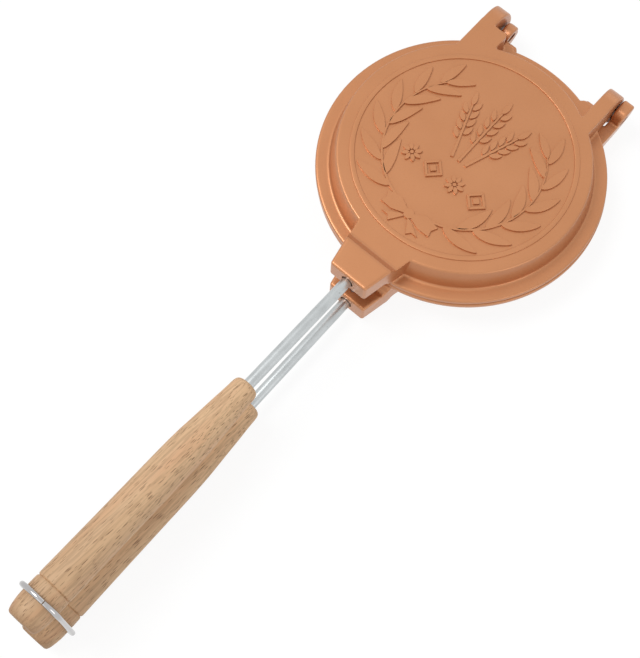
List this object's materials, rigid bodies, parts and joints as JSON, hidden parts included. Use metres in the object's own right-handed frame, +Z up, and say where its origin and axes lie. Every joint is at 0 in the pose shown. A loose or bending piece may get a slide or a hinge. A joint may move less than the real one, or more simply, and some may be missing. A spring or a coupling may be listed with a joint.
{
  "type": "stovetop sandwich maker",
  "caption": "Round hinged stovetop sandwich maker: shallow cast plates on steel rods with turned wooden grips, held shut by an oval wire ring.",
  "frame": {"origin": "middle of the closed object's bounding box, on the level of its lowest point (the underside of the locking ring)", "axes": "+Y from the grips towards the hinges, +Z up, square to the faces of the closed plates, X along the hinge pins"},
  "size_m": [0.1304, 0.3466, 0.0544],
  "materials": {
    "copper_finish": "satin copper-coloured coating on cast aluminium",
    "bright_steel": "bright plated steel",
    "plain_steel": "plain steel",
    "beech": "plain turned beech, no gloss"
  },
  "bodies": {
    "lower_half": {"lower_plate": "copper_finish", "lower_rod": "bright_steel", "lower_grip": "beech", "lower_rod_screw": "plain_steel", "right_hinge_pin": "plain_steel"},
    "upper_half": {"upper_plate": "copper_finish", "upper_rod": "bright_steel", "upper_grip": "beech", "upper_rod_screw": "plain_steel", "left_hinge_pin": "plain_steel"},
    "ring": {"locking_ring": "bright_steel"}
  },
  "joints": [
    {"name": "lid_hinge", "type": "hinge", "parent": "lower_half", "child": "upper_half", "pos_m": [0, 0.16621, 0.02718], "axis": [-1, 0, 0], "range_deg": [0, 180]},
    {"name": "ring_slide", "type": "slide", "parent": "lower_half", "child": "ring", "axis": [0, -1, 0], "range_m": [0, 0.03]}
  ]
}
